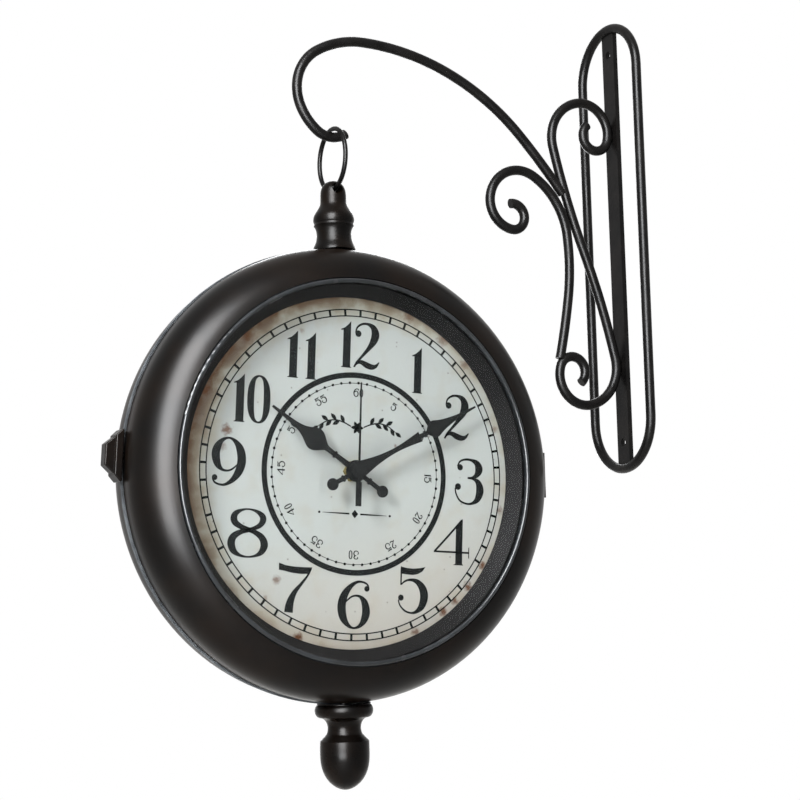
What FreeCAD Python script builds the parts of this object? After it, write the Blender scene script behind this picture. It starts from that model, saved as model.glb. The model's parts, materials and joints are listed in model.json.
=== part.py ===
# Double-sided wall clock hanging from a wrought-iron scroll bracket
# Lengths in millimetres, angles in degrees
# Origin: middle of the two wall screws, on the wall face. +X into the wall, +Z up, front dial faces -Y
import FreeCAD, Part
import math
import os

V = FreeCAD.Vector

# Fits and clearances
run_gap = 0.08
part_gap = 0.3
skirt_gap = 0.6
seat_gap = 0.1
edge_gap = 0.2

# Wall bracket
bar_dia = 6.0
reach = 200.0
loop_height = 289.0
loop_width = 61.5
strip_width = 12.5
strip_thick = 3.0
screw_edge = 16.5
screw_hole_dia = 5.0
weld_sink = 0.4

# Scrolls and hook arm: radii and places are shares of the span from the wall weld to the hook
# Hook arm: bowl of the hook, then tangent arcs up and over to the scrolls
hook_z_share = 0.2629
hook_bowl_share = 0.0787
hook_tip_turn = 34.8
arm_radius_shares = [hook_bowl_share, 0.1847, 0.144, 0.2922, 0.7767, 2.0988]
arm_turns = [40.6, 26.1, 81.4, 32.6, 45.3, 6.4]

# S-scroll: one half from its middle outwards, the other half turned about the middle
s_middle_z_share = -0.0293
s_half_width_share = 0.1096
s_heading = 111.3
s_radius_shares = [2.428, 0.1296, 0.0947, 0.0468]
s_turns = [8.4, 90.2, 119.5, 213.0]

# Side scroll: from the inner end of its curl to the lower curl of the S-scroll
side_x_share = 0.3807
side_z_share = 0.1101
side_heading = 11.5
side_radius_shares = [0.0422, 0.0895, 0.1085, 0.2418, 0.7819, 2.2531]
side_turns = [200.8, 90.3, 110.4, 53.6, 14.9, 5.2]

# Hanging ring
ring_mean_dia = 36.2
ring_wire_dia = 2.8

# Movement, built up from the middle plane of the case towards the dial
half_gap = 0.5
set_knob_thick = 1.2
set_knob_dia = 11.0
set_knob_teeth = 24
set_knob_gap = 0.3
cover_thick = 1.5
battery_dia = 14.0
battery_length = 50.5
battery_cap_dia = 5.5
battery_cap_length = 1.0
battery_proud = 2.0
battery_end_gap = 1.15
house_wall = 1.6
house_foot_wall = 2.4
bay_wall = 1.2
neck_dia = 8.0
neck_proud = 2.8
washer_dia = 16.0
washer_thick = 0.8
nut_flats = 11.2
nut_thick = 2.4
drive_side_gap = 2.4
drive_right = 4.0
drive_height = 13.0
drive_depth = 6.0
drive_gap = 2.0
drive_roof_gap = 1.4
coil_dia = 6.0
coil_length = 20.0

# Wheels and arbors
second_dia = 1.0
minute_dia = 3.0
hour_dia = 5.0
set_dia = 2.0
second_pivot = 0.9
second_wheel_dia = 12.0
second_wheel_thick = 0.8
second_wheel_gap = 2.4
wheel_centre = 12.0
wheel_thick = 1.2
wheel_gap = 0.6
pinion_thick = 2.0
set_pinion_lap = 0.2
set_pivot_depth = 0.8
pinion_teeth = 12
set_teeth = 36
set_pinion_teeth = 10
hour_teeth = 40
tooth_out_share = 0.7
tooth_in_share = 0.95
tooth_root_share = 0.22
tooth_tip_share = 0.1

# Dial, dial ring, glass and bezel, from the visible dial outwards
dial_window_radius = 99.6
dial_lap = 4.9
dial_thick = 1.0
cone_flare = 6.2
cone_wall = 1.3
cone_foot_thick = 1.2
glass_seat = 1.3
glass_thick = 2.0
bead_radius = 1.3
bead_drop = 0.2
neck_wall = 1.3
bezel_flange_lap = 3.2
bezel_flange_thick = 1.5
dial_screw_dia = 2.0
dial_screw_head_dia = 3.8
dial_screw_head_thick = 1.2
dial_screw_edge = 1.9
dial_screw_count = 4

# Hands: distances from the axis and half widths are shares of each hand's length and half width
hand_thick = 0.8
hour_lift = 4.4
minute_lift = 6.4
second_lift = 8.2
hand_air = 0.5
hour_angle = -54.7
minute_angle = 63.5
second_angle = 3.0
hour_length = 61.5
hour_half_width = 6.5
hour_hub_dia = 12.4
hour_stem_shares = [(0, 0.292), (0.163, 0.231), (0.276, 0.2), (0.358, 0.246)]
hour_leaf_shares = [(0.358, 0.246), (0.415, 0.646), (0.463, 0.938), (0.507, 1), (0.553, 0.831),
                    (0.618, 0.492), (0.691, 0.277), (0.797, 0.185), (0.911, 0.138), (1, 0.092)]
hour_collar_shares = [(0.257, 0.308), (0.894, 0.231)]
hour_ball_at = 19.9
hour_ball_dia = 6.8
minute_length = 86.0
minute_half_width = 5.0
minute_hub_dia = 10.0
minute_stem_shares = [(0, 1), (0.047, 0.88), (0.116, 0.62), (0.209, 0.38), (0.326, 0.28), (0.419, 0.38),
                      (0.523, 0.6)]
minute_waist_shares = [(0.523, 0.28), (0.587, 0.26)]
minute_leaf_shares = [(0.587, 0.26), (0.612, 0.72), (0.643, 1), (0.686, 0.8), (0.756, 0.48),
                      (0.849, 0.24), (0.93, 0.16), (1, 0.1)]
minute_collar_shares = [(0.563, 0.38)]
minute_ball_at = 17.4
minute_ball_dia = 6.8
tail_half_width = 1.3
tail_collar_at = 10.0
tail_collar_half_width = 1.9
collar_length = 1.2
second_length = 50.0
second_half_width = 1.7
second_tail_length = 20.1
second_thick = 0.6
second_hub_dia = 9.2
second_cap_dia = 4.4
second_cap_thick = 0.2
second_blade_shares = [(0, 0.353), (0.5, 0.294), (1, 0.206)]
second_tail_shares = [(0, 0.588), (0.323, 0.588)]
second_weight_shares = [(0.323, 1), (1, 1)]

# Case: two domed shells on a hoop with a narrow rib
opening_gap = 0.6
shoulder_width = 20.3
dome_lip = 5.2
shell_thick = 1.5
skirt_end = 8.0
rib_proud = 0.9
rib_width = 2.6
hoop_thick = 3.0
hoop_drop = 0.6

# Finials: radii and heights above the rib are shares of each finial's radius and height
top_radius = 12.6
top_height = 41.4
top_foot_shares = [(1, 0), (0.976, 0.029), (0.865, 0.111), (0.802, 0.22), (0.841, 0.304), (0.929, 0.353)]
top_bulge_shares = [(0.905, 0.384), (0.952, 0.44), (0.913, 0.498), (0.802, 0.56), (0.659, 0.633),
                    (0.603, 0.715)]
top_dome_shares = [(0.603, 0.715), (0.595, 0.812), (0.532, 0.903), (0.333, 0.976), (0, 1)]
eye_drop = 4.9
eye_gap = 0.4
eye_straight = 3.0
eye_flare_dia = 8.0
eye_reach_share = 1.27
low_radius = 16.3
low_height = 47.6
low_flange_shares = [(0.933, 0), (1, 0.034), (1, 0.105), (0.92, 0.145)]
low_cove_shares = [(0.871, 0.153), (0.65, 0.193), (0.577, 0.269), (0.626, 0.349)]
low_shoulder_shares = [(0.663, 0.363), (0.853, 0.429)]
low_acorn_shares = [(0.853, 0.429), (0.859, 0.588), (0.81, 0.735), (0.65, 0.861), (0.368, 0.958), (0, 1)]
finial_sink = 3.0
stud_dia = 6.0
stud_notch_gap = 1.0
stud_nut_flats = 10.0
stud_nut_thick = 5.0
stud_tail = 2.0

# Side knob: a thumb screw with a stepped flat head on the seam, a little above nine o'clock
knob_angle = 3.7
knob_width = 31.0
knob_height = 9.6
knob_step_share = 0.46
knob_step_width_share = 0.7
knob_tip_width_share = 0.37
knob_depth = 12.0
knob_tip_depth_share = 0.67
knob_round = 0.8
knob_shank_dia = 5.0
knob_nut_flats = 9.0
knob_nut_thick = 4.0

# Hinge at three o'clock
hinge_height = 27.0
hinge_mid_share = 0.34
barrel_radius = 2.6
hinge_pin_dia = 2.4
hinge_cap_dia = 4.4
hinge_cap_thick = 1.0
leaf_start = 4.0
leaf_end = 12.0
leaf_lap = 0.7
leaf_tongue = 1.4

# Bracket places that follow from the sizes above
bar_radius = bar_dia / 2
wall_stand = strip_thick + bar_radius - weld_sink
span = reach - wall_stand
hook_z = hook_z_share * span
hook_bowl_radius = hook_bowl_share * span
strip_end = loop_height / 2 - bar_radius
screw_z = strip_end - screw_edge
ring_radius = ring_mean_dia / 2
wire_radius = ring_wire_dia / 2
ring_top_z = hook_z + bar_radius + part_gap + wire_radius
ring_z = ring_top_z - ring_radius
eye_z = ring_z - ring_radius
eye_height = top_height - eye_drop

# Depths from the middle plane: movement, dial, hands, glass, bead
set_knob_low = half_gap
cover_back = set_knob_low + set_knob_thick + set_knob_gap
house_back = cover_back + cover_thick
house_front = house_back + house_wall + seat_gap + battery_dia - battery_proud
chamber_front = house_front - house_wall
dial_back = house_front + washer_thick
dial_front = dial_back + dial_thick
neck_top = dial_front + neck_proud
nut_front = dial_front + nut_thick
hour_top = dial_front + hour_lift
minute_top = dial_front + minute_lift
second_top = dial_front + second_lift
glass_back = second_top + second_cap_thick + hand_air
glass_front = glass_back + glass_thick
bead_depth = glass_front + seat_gap + bead_radius
opening_depth = bead_depth + bead_drop

# Radii about the clock axis, from the visible dial out to the rib
dial_radius = dial_window_radius + dial_lap
cone_top_radius = dial_window_radius + cone_flare
glass_radius = cone_top_radius + glass_seat
bead_circle_radius = glass_radius + edge_gap
neck_outer = bead_circle_radius + neck_wall
opening_radius = neck_outer + opening_gap
bezel_flange_radius = opening_radius + bezel_flange_lap
dome_centre_radius = opening_radius - dome_lip
shell_radius = opening_radius + shoulder_width
skirt_inner = shell_radius - shell_thick
dome_out = shell_radius - dome_centre_radius
dome_in = dome_out - shell_thick
dome_rise = (opening_depth - skirt_end) / math.sqrt(1 - (dome_lip / dome_out) ** 2)
rise_in = dome_rise - shell_thick
flange_share = (bezel_flange_radius - dome_centre_radius) / dome_in
bezel_flange_front = skirt_end + rise_in * math.sqrt(1 - flange_share ** 2) - seat_gap
rib_radius = shell_radius + rib_proud
rib_half = rib_width / 2
hoop_half = skirt_end - hoop_drop
hoop_outer = skirt_inner - skirt_gap
hoop_inner = hoop_outer - hoop_thick
hinge_x = rib_radius + part_gap + barrel_radius
drum_z = eye_z - eye_height - rib_radius
through = shell_radius + rib_radius

# Wheels and rooms of the movement
first_module = 2 * wheel_centre / (pinion_teeth + set_teeth)
second_module = 2 * wheel_centre / (set_pinion_teeth + hour_teeth)
hour_wheel_radius = second_module * (hour_teeth / 2 + tooth_out_share)
hour_low = chamber_front - wheel_gap - wheel_thick
pinion_low = hour_low - wheel_gap - pinion_thick
set_low = pinion_low + (pinion_thick - wheel_thick) / 2
set_pinion_low = hour_low - set_pinion_lap
set_pinion_thick = wheel_thick + 2 * set_pinion_lap
second_wheel_low = pinion_low - second_wheel_gap - second_wheel_thick
second_foot = house_back - second_pivot
chamber_bottom = -hour_wheel_radius - part_gap
bay_top = chamber_bottom - bay_wall
battery_z = bay_top - seat_gap - battery_dia / 2
battery_axis = chamber_front - seat_gap - battery_dia / 2
bay_bottom = battery_z - battery_dia / 2 - seat_gap
bay_half = battery_length / 2 + battery_end_gap
house_half = bay_half + house_wall
drive_left = bay_half - drive_side_gap
drive_bottom = hour_wheel_radius + drive_gap
drive_top = drive_bottom + drive_height
chamber_top = drive_top + drive_roof_gap
house_bottom = bay_bottom - house_foot_wall
house_top = chamber_top + house_wall

AXIS_Y = V(0, 1, 0)
AXIS_Z = V(0, 0, 1)
AXIS_X = V(1, 0, 0)
CENTRE = V(0, 0, 0)


def at(x, z):
    """Point of the bracket plane."""
    return V(x, 0, z)


def scaled(shares, first, second):
    """Pairs of lengths from pairs of shares."""
    return [(first_share * first, second_share * second) for first_share, second_share in shares]


def arc_triples(x, z, heading, radius_shares, turns):
    """Start, middle and end point of each arc of a chain that turns clockwise."""
    triples = []
    angle = math.radians(heading)
    for radius_share, turn in zip(radius_shares, turns):
        radius = radius_share * span
        step = math.radians(turn)
        mid_x = x + radius * math.sin(angle)
        mid_z = z - radius * math.cos(angle)
        points = []
        for share in (0, 0.5, 1):
            now = angle - step * share
            points.append(at(mid_x - radius * math.sin(now), mid_z + radius * math.cos(now)))
        triples.append(points)
        angle = angle - step
        x = points[-1].x
        z = points[-1].z
    return triples


def reversed_triples(triples):
    """The same arcs run the other way."""
    return [list(reversed(points)) for points in reversed(triples)]


def bar(triples):
    """Round bar along a chain of arcs."""
    edges = [Part.Arc(a, b, c).toShape() for a, b, c in triples]
    first = edges[0]
    circle = Part.makeCircle(bar_radius, triples[0][0], first.tangentAt(first.FirstParameter))
    solid = Part.Wire(edges).makePipeShell([Part.Wire(circle)], True, False)
    return Part.Solid(solid) if solid.ShapeType == "Shell" else solid


def cylinder(radius, start, end):
    """Cylinder between two points."""
    return Part.makeCylinder(radius, (end - start).Length, start, end - start)


def block(x0, x1, y0, y1, z0, z1):
    """Box between two corners."""
    return Part.makeBox(x1 - x0, y1 - y0, z1 - z0, V(x0, y0, z0))


def wedge(low, high, low_width, high_width, depth):
    """Tapered block on the Z axis with rounded edges."""
    corners = [(-low_width, low), (low_width, low), (high_width, high), (-high_width, high)]
    points = [V(width / 2, -depth / 2, height) for width, height in corners]
    solid = Part.Face(Part.makePolygon(points + points[:1])).extrude(V(0, depth, 0))
    return solid.makeFillet(knob_round, solid.Edges)


def joined(shapes):
    """One solid from touching shapes."""
    shape = shapes[0].fuse(shapes[1:]) if len(shapes) > 1 else shapes[0]
    return shape.removeSplitter()


def largest(shape):
    """The largest solid of a shape, without the slivers a cut leaves."""
    return sorted(shape.Solids, key=lambda solid: solid.Volume)[-1]


def run_edges(groups, place):
    """Edges through groups of pairs: a line for two pairs, a smooth curve for more."""
    edges = []
    last = None
    for group in groups:
        points = [place(*pair) for pair in group]
        if last is not None and (points[0] - last).Length > 0:
            edges.append(Part.makeLine(last, points[0]))
        if len(points) > 2:
            curve = Part.BSplineCurve()
            curve.interpolate(points)
            edges.append(curve.toShape())
        else:
            edges.append(Part.makeLine(points[0], points[1]))
        last = points[-1]
    return edges


def turned(groups, sink):
    """Turned piece on the Z axis from its foot up, with a plug of height sink below the foot."""
    foot = groups[0][0][0]
    edges = run_edges([[(0, -sink), (foot, -sink)]] + groups, lambda r, h: V(r, 0, h))
    edges.append(Part.makeLine(V(0, 0, groups[-1][-1][1]), V(0, 0, -sink)))
    return Part.Face(Part.Wire(edges)).revolve(CENTRE, AXIS_Z, 360)


def ring_of(pairs):
    """Ring about the clock axis from a closed outline of radius and depth pairs."""
    points = [V(r, -d, 0) for r, d in pairs]
    return Part.Face(Part.makePolygon(points + points[:1])).revolve(CENTRE, AXIS_Y, 360)


def disc(radius, low, high, x=0, z=0):
    """Disc along the clock axis between two depths."""
    return cylinder(radius, V(x, -low, z), V(x, -high, z))


def hexagon(flats, low, high):
    """Hexagonal prism along the clock axis between two depths."""
    corner = flats / math.sqrt(3)
    points = []
    for index in range(7):
        angle = math.radians(60 * index)
        points.append(V(corner * math.cos(angle), -low, corner * math.sin(angle)))
    return Part.Face(Part.makePolygon(points)).extrude(V(0, low - high, 0))


def gear(teeth, module, low, thick, phase):
    """Wheel with straight-sided teeth about the clock axis; phase in tooth pitches."""
    pitch = 2 * math.pi / teeth
    outer = module * (teeth / 2 + tooth_out_share)
    root = module * (teeth / 2 - tooth_in_share)
    points = []
    for index in range(teeth):
        for radius, share in ((root, -tooth_root_share), (outer, -tooth_tip_share),
                              (outer, tooth_tip_share), (root, tooth_root_share)):
            angle = (index + phase + share) * pitch
            points.append(V(radius * math.cos(angle), -low, radius * math.sin(angle)))
    return Part.Face(Part.makePolygon(points + points[:1])).extrude(V(0, -thick, 0))


def to_rear(shape):
    """The same piece on the rear face."""
    copy = shape.copy()
    copy.rotate(CENTRE, AXIS_Z, 180)
    return copy


def hung(shape):
    """Move a piece of the clock from its own centre to where it hangs."""
    copy = shape.copy()
    copy.translate(V(-reach, 0, drum_z))
    return copy


parts = {}

# Bracket: loop and strip on the wall
leg_y = loop_width / 2
leg_end = loop_height / 2 - bar_radius - leg_y
loop_pieces = []
for side in (-1, 1):
    foot = V(-bar_radius, side * leg_y, -leg_end)
    head = V(-bar_radius, side * leg_y, leg_end)
    loop_pieces.append(cylinder(bar_radius, foot, head))
    start = V(-bar_radius, leg_y, side * leg_end)
    circle = Part.Face(Part.Wire(Part.makeCircle(bar_radius, start, AXIS_Z)))
    loop_pieces.append(circle.revolve(V(-bar_radius, 0, side * leg_end), AXIS_X, side * 180))
parts["wall_loop"] = joined(loop_pieces)

strip = block(-strip_thick, 0, -strip_width / 2, strip_width / 2, -strip_end, strip_end)
for side in (-1, 1):
    hole = cylinder(screw_hole_dia / 2, V(-strip_thick, 0, side * screw_z), V(0, 0, side * screw_z))
    strip = strip.cut(hole)
parts["wall_strip"] = largest(strip.cut(parts["wall_loop"]))

# Bracket: scrolls and hook arm
s_middle_x = -wall_stand - s_half_width_share * span
s_middle_z = s_middle_z_share * span
s_upper = arc_triples(s_middle_x, s_middle_z, s_heading, s_radius_shares, s_turns)
s_lower = [[at(2 * s_middle_x - p.x, 2 * s_middle_z - p.z) for p in points] for points in s_upper]
s_bar = bar(reversed_triples(s_upper) + s_lower)
parts["s_scroll"] = s_bar.cut(strip)

side_x = -wall_stand - side_x_share * span
side_bar = bar(arc_triples(side_x, side_z_share * span, side_heading, side_radius_shares, side_turns))
parts["side_scroll"] = side_bar.cut(s_bar)

tip_heading = 180 + hook_tip_turn
tip_angle = math.radians(tip_heading)
tip_x = -reach - hook_bowl_radius * math.sin(tip_angle)
tip_z = hook_z + hook_bowl_radius * (1 + math.cos(tip_angle))
arm_shares = [hook_bowl_share] + arm_radius_shares
arm = bar(arc_triples(tip_x, tip_z, tip_heading, arm_shares, [hook_tip_turn] + arm_turns))
parts["hook_arm"] = arm.cut(s_bar).cut(side_bar)

# Hanging ring
parts["hanging_ring"] = Part.makeTorus(ring_radius, wire_radius, V(-reach, 0, ring_z), AXIS_X)

# Case: hoop with rib, drilled for the two studs and the knob
band = ring_of([(hoop_inner, -hoop_half), (hoop_outer, -hoop_half), (hoop_outer, -rib_half),
                (rib_radius, -rib_half), (rib_radius, rib_half), (hoop_outer, rib_half),
                (hoop_outer, hoop_half), (hoop_inner, hoop_half)])
knob_turn = FreeCAD.Rotation(AXIS_Y, knob_angle)
knob_axis = knob_turn.multVec(V(-1, 0, 0))
stud_hole = cylinder(stud_dia / 2 + seat_gap, V(0, 0, -through), V(0, 0, through))
knob_hole = cylinder(knob_shank_dia / 2 + run_gap, CENTRE, knob_axis * through)
parts["case_band"] = band.cut(stud_hole).cut(knob_hole)


def dome_edge(radius, rise, turn):
    """Quarter ellipse of the dome from its skirt through the given angle."""
    middle = V(dome_centre_radius, -skirt_end, 0)
    foot = V(radius, -skirt_end, 0)
    # Part.Ellipse takes the end of the longer half axis first
    if radius - dome_centre_radius > rise:
        return Part.Ellipse(foot, middle - V(0, rise, 0), middle).toShape(0, turn)
    flipped = Part.Ellipse(middle - V(0, rise, 0), middle + V(radius - dome_centre_radius, 0, 0), middle)
    return flipped.toShape(math.pi / 2 - turn, math.pi / 2)


def shell(edge):
    """Domed half case whose skirt starts at the given depth."""
    outer = dome_edge(shell_radius, dome_rise, math.acos(dome_lip / dome_out))
    inner = dome_edge(skirt_inner, rise_in, math.acos(dome_lip / dome_in))
    ends = [edge_curve.valueAt(edge_curve.LastParameter) for edge_curve in (outer, inner)]
    edges = [Part.makeLine(V(shell_radius, -edge, 0), V(shell_radius, -skirt_end, 0)), outer,
             Part.makeLine(ends[0], ends[1]), inner,
             Part.makeLine(V(skirt_inner, -skirt_end, 0), V(skirt_inner, -edge, 0)),
             Part.makeLine(V(skirt_inner, -edge, 0), V(shell_radius, -edge, 0))]
    solid = Part.Face(Part.Wire(Part.__sortEdges__(edges))).revolve(CENTRE, AXIS_Y, 360)
    notch = stud_dia / 2 + stud_notch_gap
    return solid.cut(cylinder(notch, V(0, 0, -through), V(0, 0, through)))


knob_notch = cylinder(knob_shank_dia / 2 + stud_notch_gap, CENTRE, knob_axis * through)
parts["front_shell"] = shell(rib_half + part_gap).cut(knob_notch)
parts["rear_shell"] = to_rear(shell(rib_half)).cut(knob_notch)

# Bezel, glass, dial ring, dial and dial screws of one face
flange_back = bezel_flange_front - bezel_flange_thick
bead = Part.makeTorus(bead_circle_radius, bead_radius, V(0, -bead_depth, 0), AXIS_Y)
neck = ring_of([(bead_circle_radius, bead_depth), (neck_outer, bead_depth), (neck_outer, bezel_flange_front),
                (bezel_flange_radius, bezel_flange_front), (bezel_flange_radius, flange_back),
                (bead_circle_radius, flange_back)])
bezel = joined([bead, neck])
glass = disc(glass_radius, glass_back, glass_front)
cone_foot = dial_front + cone_foot_thick
cone = ring_of([(cone_top_radius, glass_back), (glass_radius, glass_back),
                (glass_radius, glass_back - cone_wall), (dial_window_radius + cone_wall, cone_foot),
                (dial_radius, cone_foot), (dial_radius, dial_front),
                (dial_window_radius, dial_front), (dial_window_radius, cone_foot)])
dial = disc(dial_radius, dial_back, dial_front).cut(disc(neck_dia / 2 + edge_gap, dial_back, dial_front))
screws = []
for index in range(dial_screw_count):
    angle = math.radians(360 * (index + 0.5) / dial_screw_count)
    x = (dial_radius - dial_screw_edge) * math.cos(angle)
    z = (dial_radius - dial_screw_edge) * math.sin(angle)
    hole = disc(dial_screw_dia / 2, dial_back, cone_foot, x, z)
    head = disc(dial_screw_head_dia / 2, dial_back - dial_screw_head_thick, dial_back, x, z)
    dial = dial.cut(hole)
    cone = cone.cut(hole)
    screws.append(joined([hole, head]))
face_parts = {"bezel": bezel, "glass": glass, "dial_ring": cone, "dial": dial}
face_parts["dial_screws"] = Part.Compound(screws)

# Finials with their studs and nuts, seated on the rib
saddle = disc(rib_radius, -opening_radius, opening_radius)
stud_end = hoop_inner - stud_nut_thick - stud_tail


def finial(share_groups, radius, height):
    """Turned finial standing on the top of the case, with its stud."""
    piece = turned([scaled(shares, radius, height) for shares in share_groups], finial_sink)
    piece.translate(V(0, 0, rib_radius))
    stud = cylinder(stud_dia / 2, V(0, 0, stud_end), V(0, 0, rib_radius))
    return joined([piece.cut(saddle), stud])


eye = V(0, 0, rib_radius + eye_height)
eye_radius = wire_radius + eye_gap
eye_reach = eye_reach_share * top_radius
flare_length = (eye_reach - eye_straight) / 2
eye_cut = cylinder(eye_radius, eye - V(0, eye_reach / 2, 0), eye + V(0, eye_reach / 2, 0))
for side in (-1, 1):
    flare_foot = eye + V(0, side * eye_straight / 2, 0)
    flare = Part.makeCone(eye_radius, eye_flare_dia / 2, flare_length, flare_foot, V(0, side, 0))
    eye_cut = eye_cut.fuse(flare)
top_shares = [top_foot_shares, top_bulge_shares, top_dome_shares]
parts["top_finial"] = finial(top_shares, top_radius, top_height).cut(eye_cut)
low_shares = [low_flange_shares, low_cove_shares, low_shoulder_shares, low_acorn_shares]
low = finial(low_shares, low_radius, low_height)
low.rotate(CENTRE, AXIS_Y, 180)
parts["bottom_finial"] = low
stud_nut = hexagon(stud_nut_flats, 0, stud_nut_thick).cut(disc(stud_dia / 2, 0, stud_nut_thick))
stud_nut.rotate(CENTRE, AXIS_X, 90)
stud_nut.translate(V(0, 0, hoop_inner))
stud_nut = largest(stud_nut.cut(band))
low_nut = stud_nut.copy()
low_nut.rotate(CENTRE, AXIS_Y, 180)
parts["finial_nuts"] = Part.Compound([stud_nut, low_nut])

# Side knob and its nut, built upwards and laid over to nine o'clock
knob_step = knob_height * knob_step_share
knob_base = wedge(0, knob_step, knob_width, knob_width * knob_step_width_share, knob_depth)
knob_tip = wedge(knob_step - knob_round, knob_height, knob_width * knob_step_width_share,
                 knob_width * knob_tip_width_share, knob_depth * knob_tip_depth_share)
knob = joined([knob_base, knob_tip])
knob.translate(V(0, 0, rib_radius + part_gap))
shank_low = hoop_inner - knob_nut_thick - stud_tail
knob = joined([knob, cylinder(knob_shank_dia / 2, V(0, 0, shank_low), V(0, 0, rib_radius + part_gap))])
knob_nut = block(-knob_nut_flats / 2, knob_nut_flats / 2, -knob_nut_flats / 2, knob_nut_flats / 2,
                 hoop_inner - knob_nut_thick, hoop_inner)
knob_nut = knob_nut.cut(cylinder(knob_shank_dia / 2 + run_gap, V(0, 0, shank_low), V(0, 0, hoop_inner)))
knob_nut = largest(knob_nut.cut(band))
for name, piece in (("side_knob", knob), ("knob_nut", knob_nut)):
    piece.rotate(CENTRE, AXIS_Y, knob_angle - 90)
    parts[name] = piece

# Hinge at three o'clock
hinge_half = hinge_height / 2
mid_half = hinge_height * hinge_mid_share / 2
pin_line = (V(hinge_x, 0, -hinge_half - part_gap), V(hinge_x, 0, hinge_half + part_gap))
leaf_top = rib_radius + part_gap + leaf_lap


def leaf(side, spans, bore):
    """Hinge leaf on one half of the case with knuckles over the given heights."""
    y_near, y_far = sorted((side * leaf_start, side * leaf_end))
    pieces = [block(skirt_inner, leaf_top, y_near, y_far, -hinge_half, hinge_half)]
    y_low, y_high = sorted((0, side * leaf_start))
    tongue_x = hinge_x - barrel_radius
    for low_z, high_z in spans:
        pieces.append(cylinder(barrel_radius, V(hinge_x, 0, low_z), V(hinge_x, 0, high_z)))
        pieces.append(block(tongue_x, tongue_x + leaf_tongue, y_low, y_high, low_z, high_z))
    return joined(pieces).cut(cylinder(bore, *pin_line))


fixed_leaf = leaf(1, [(-mid_half, mid_half)], hinge_pin_dia / 2)
moving_leaf = leaf(-1, [(-hinge_half, -mid_half - part_gap), (mid_half + part_gap, hinge_half)],
                   hinge_pin_dia / 2 + run_gap)
dome_top = -skirt_end - dome_rise
dome_fill = Part.Face(Part.Wire(Part.__sortEdges__([
    Part.makeLine(CENTRE, V(shell_radius, 0, 0)),
    Part.makeLine(V(shell_radius, 0, 0), V(shell_radius, -skirt_end, 0)),
    dome_edge(shell_radius, dome_rise, math.pi / 2),
    Part.makeLine(V(dome_centre_radius, dome_top, 0), V(0, dome_top, 0)),
    Part.makeLine(V(0, dome_top, 0), CENTRE)]))).revolve(CENTRE, AXIS_Y, 360)
parts["hinge_fixed_leaf"] = fixed_leaf.cut(to_rear(dome_fill))
parts["hinge_moving_leaf"] = moving_leaf.cut(dome_fill)
pin_pieces = [cylinder(hinge_pin_dia / 2, *pin_line)]
for end in pin_line:
    out = V(0, 0, math.copysign(hinge_cap_thick, end.z))
    pin_pieces.append(cylinder(hinge_cap_dia / 2, end, end + out))
parts["hinge_pin"] = joined(pin_pieces)

# Movement of one face
neck_bore = hour_dia / 2 + run_gap
house = block(-house_half, house_half, -house_front, -house_back, house_bottom, house_top)
house = house.cut(block(-bay_half, bay_half, -chamber_front, -house_back, chamber_bottom, chamber_top))
house = house.cut(block(-bay_half, bay_half, -chamber_front, -house_back, bay_bottom, bay_top))
house = joined([house, disc(neck_dia / 2, house_front, neck_top)])
house = house.cut(disc(neck_bore, chamber_front, neck_top))
pivot_top = chamber_front + set_pivot_depth
house = house.cut(disc(set_dia / 2 + run_gap, chamber_front, pivot_top + seat_gap, wheel_centre))
cover = block(-house_half, house_half, -house_back, -cover_back, chamber_bottom - bay_wall / 2, house_top)
cover = cover.cut(disc(set_dia / 2 + run_gap, cover_back, house_back, wheel_centre))
cover = cover.cut(disc(second_dia / 2 + run_gap, second_foot - seat_gap, house_back))
cell_half = battery_length / 2
cell_middle = V(0, -battery_axis, battery_z)
cell_body = cylinder(battery_dia / 2, cell_middle - V(cell_half, 0, 0),
                     cell_middle + V(cell_half - battery_cap_length, 0, 0))
cell_cap = cylinder(battery_cap_dia / 2, cell_middle, cell_middle + V(cell_half, 0, 0))
drive = block(-drive_left, drive_right, -chamber_front, drive_depth - chamber_front, drive_bottom, drive_top)
coil_y = drive_depth - chamber_front
coil_z = (drive_bottom + drive_top) / 2
coil = cylinder(coil_dia / 2, V(-drive_left, coil_y, coil_z), V(coil_length - drive_left, coil_y, coil_z))
washer = disc(washer_dia / 2, dial_back, house_front).cut(disc(neck_dia / 2, dial_back, house_front))
brass_nut = hexagon(nut_flats, dial_front, nut_front).cut(disc(neck_dia / 2, dial_front, nut_front))
face_parts.update({"housing": house, "back_cover": cover, "battery": joined([cell_body, cell_cap]),
                   "drive_unit": joined([drive, coil]), "washer": washer, "hand_nut": brass_nut})

# Arbors and wheels of one face: the motion work gives the hour hand a twelfth of the minute hand's turn
second_arbor = joined([disc(second_dia / 2, second_foot, second_top),
                       disc(second_wheel_dia / 2, second_wheel_low, second_wheel_low + second_wheel_thick)])
minute_arbor = joined([gear(pinion_teeth, first_module, pinion_low, pinion_thick, 0),
                       disc(minute_dia / 2, pinion_low, minute_top)])
minute_arbor = minute_arbor.cut(disc(second_dia / 2 + run_gap, pinion_low, minute_top))
hour_wheel = joined([gear(hour_teeth, second_module, hour_low, wheel_thick, 0.5),
                     disc(hour_dia / 2, hour_low, hour_top)])
hour_wheel = hour_wheel.cut(disc(minute_dia / 2 + run_gap, hour_low, hour_top))
set_wheel = joined([gear(set_teeth, first_module, set_low, wheel_thick, 0.5),
                    gear(set_pinion_teeth, second_module, set_pinion_low, set_pinion_thick, 0),
                    disc(set_dia / 2, set_knob_low, pivot_top)])
set_wheel.translate(V(wheel_centre, 0, 0))
set_knob = gear(set_knob_teeth, set_knob_dia / set_knob_teeth, set_knob_low, set_knob_thick, 0)
set_knob.translate(V(wheel_centre, 0, 0))
set_knob = set_knob.cut(disc(set_dia / 2, set_knob_low, set_knob_low + set_knob_thick, wheel_centre))
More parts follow.
